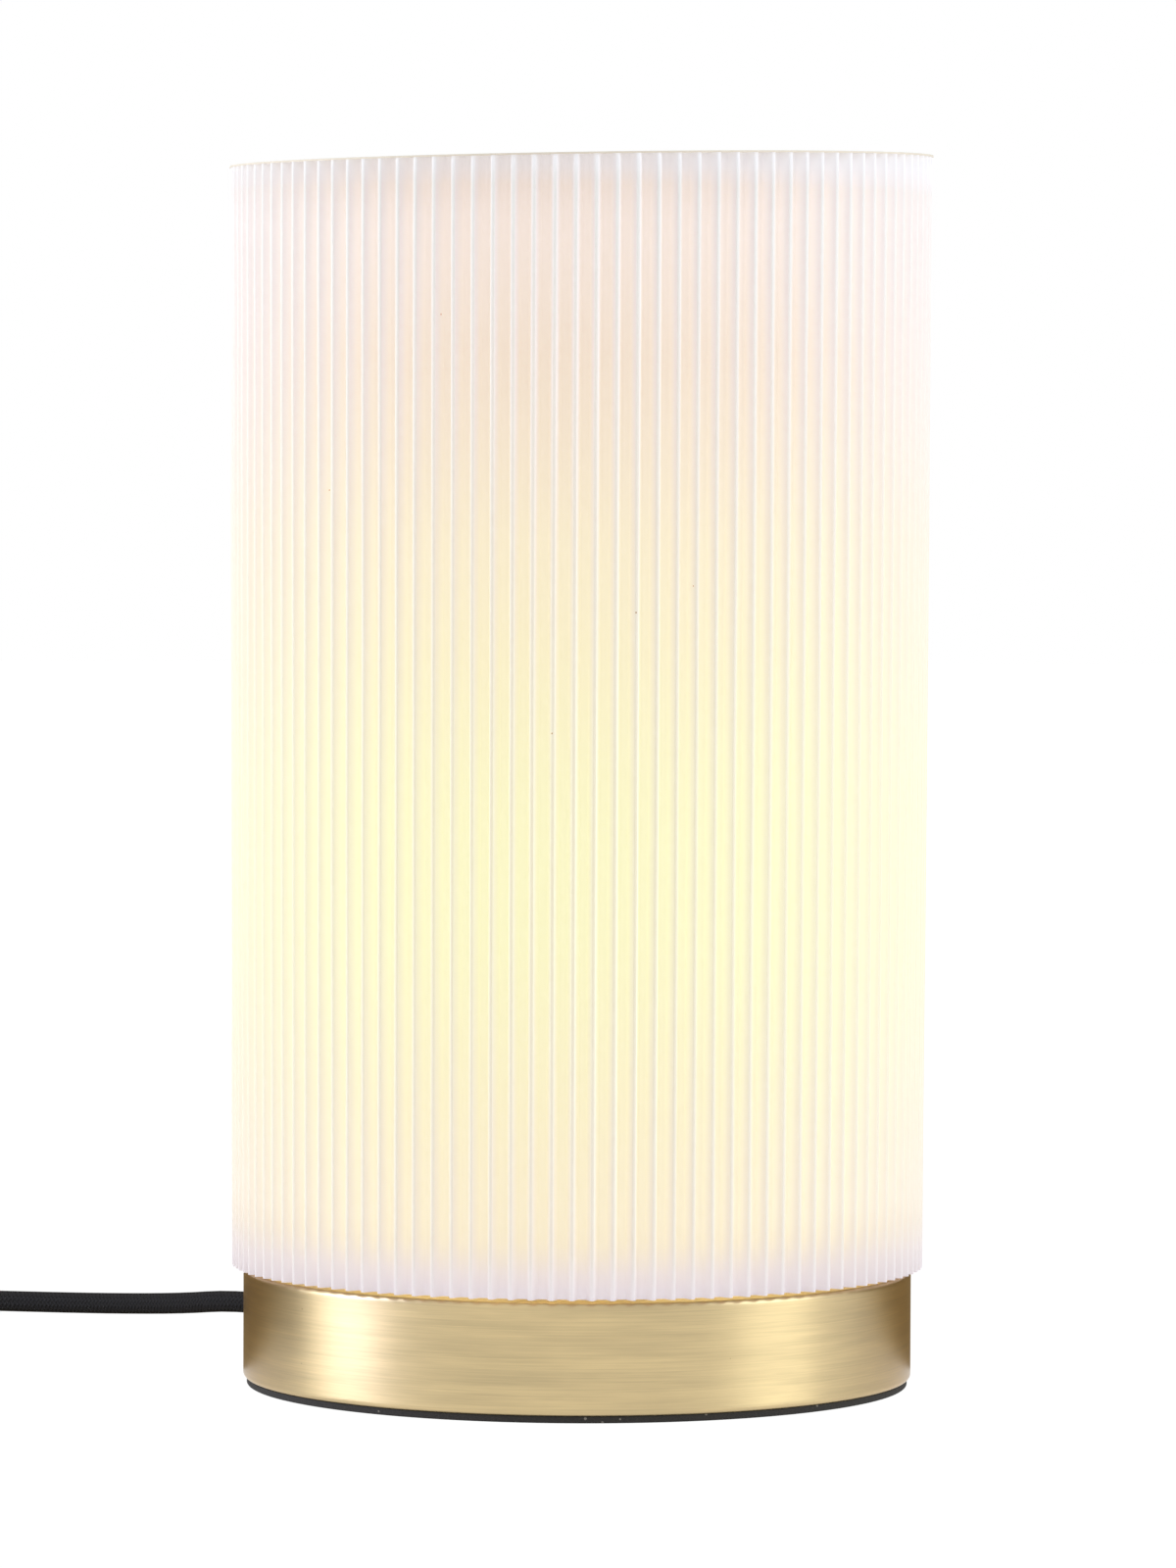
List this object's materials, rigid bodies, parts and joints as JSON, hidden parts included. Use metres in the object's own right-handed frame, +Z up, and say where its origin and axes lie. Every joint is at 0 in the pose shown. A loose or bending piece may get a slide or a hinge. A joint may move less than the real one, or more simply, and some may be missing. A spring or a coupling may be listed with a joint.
{
  "type": "pleated paper table lamp",
  "caption": "Table lamp with a tall cylindrical pleated paper shade on a low round satin brass base, with a screw lampholder, a bulb and a braided cord with a hand switch and a flat plug.",
  "frame": {"origin": "middle of the foam pad's underside, on the table, at the axis of the base", "axes": "+Z up along the axis of the base and shade; -Y is the side the picture sees; +X is to the right there; the cord leaves the back left"},
  "size_m": [0.3907, 0.3123, 0.3487],
  "materials": {
    "pleated_paper": "translucent cream-white pleated paper",
    "hem_card": "cream card edging",
    "shade_wire": "white enamelled steel wire",
    "satin_brass": "satin brass, fine horizontal brushing",
    "foam_pad": "black closed-cell foam",
    "zinc_steel": "zinc plated",
    "weight_iron": "rough cast iron",
    "black_plastic": "matt black thermoplastic",
    "holder_plastic": "white thermoset",
    "porcelain": "unglazed porcelain",
    "contact_brass": "bright brass",
    "nickel": "nickel plated",
    "black_insulator": "glossy black insulator",
    "opal": "opal white diffuser",
    "led_aluminium": "white-coated aluminium",
    "circuit_board": "green board laminate",
    "braid": "black braided textile sleeve",
    "tie_strap": "black hook and loop strap",
    "live_insulation": "brown core insulation",
    "neutral_insulation": "blue core insulation"
  },
  "bodies": {
    "base": {"base_cover": "satin_brass", "base_pad": "foam_pad", "base_plate": "zinc_steel", "cover_posts": "zinc_steel", "base_screws": "zinc_steel", "clamp_screws": "zinc_steel", "nipple": "zinc_steel", "nipple_nuts": "zinc_steel", "nipple_washer": "zinc_steel", "terminal_screws": "zinc_steel", "switch_screws": "zinc_steel", "base_weight": "weight_iron", "cord_bushing": "black_plastic", "cord_clamp": "black_plastic", "switch_lower_shell": "black_plastic", "switch_upper_shell": "black_plastic", "plug_body": "black_plastic", "pin_sleeves": "black_plastic", "holder_cap": "holder_plastic", "holder_shell": "holder_plastic", "holder_insert": "porcelain", "holder_screw_shell": "contact_brass", "centre_contact": "contact_brass", "switch_contacts": "contact_brass", "plug_pins": "nickel", "cord_tail": "braid", "cord_to_switch": "braid", "cord_to_coil": "braid", "cord_to_plug": "braid", "cord_coil": "braid", "cord_tie": "tie_strap", "live_core": "live_insulation", "neutral_core": "neutral_insulation"},
    "shade": {"pleated_shade": "pleated_paper", "top_hem_ring": "hem_card", "top_wire_ring": "shade_wire", "bottom_wire_ring": "shade_wire", "shade_spider": "shade_wire"},
    "shade_nut": {"shade_ring_nut": "holder_plastic"},
    "bulb": {"bulb_tip": "nickel", "bulb_insulator": "black_insulator", "bulb_screw_cap": "nickel", "bulb_housing": "holder_plastic", "led_board": "led_aluminium", "led_column": "led_aluminium", "driver_board": "circuit_board", "bulb_diffuser": "opal"},
    "switch_rocker_body": {"switch_rocker": "black_plastic"}
  },
  "joints": [
    {"name": "shade_lift", "type": "slide", "parent": "base", "child": "shade", "axis": [0, 0, 1], "range_m": [0, 0.16]},
    {"name": "nut_lift", "type": "slide", "parent": "shade", "child": "shade_nut", "axis": [0, 0, 1], "range_m": [0, 0.3]},
    {"name": "bulb_lift", "type": "slide", "parent": "base", "child": "bulb", "axis": [0, 0, 1], "range_m": [0, 0.3]},
    {"name": "switch_rock", "type": "hinge", "parent": "base", "child": "switch_rocker_body", "pos_m": [-0.278, 0.083, 0.0125], "axis": [1, 0, 0], "range_deg": [-12, 0]}
  ]
}
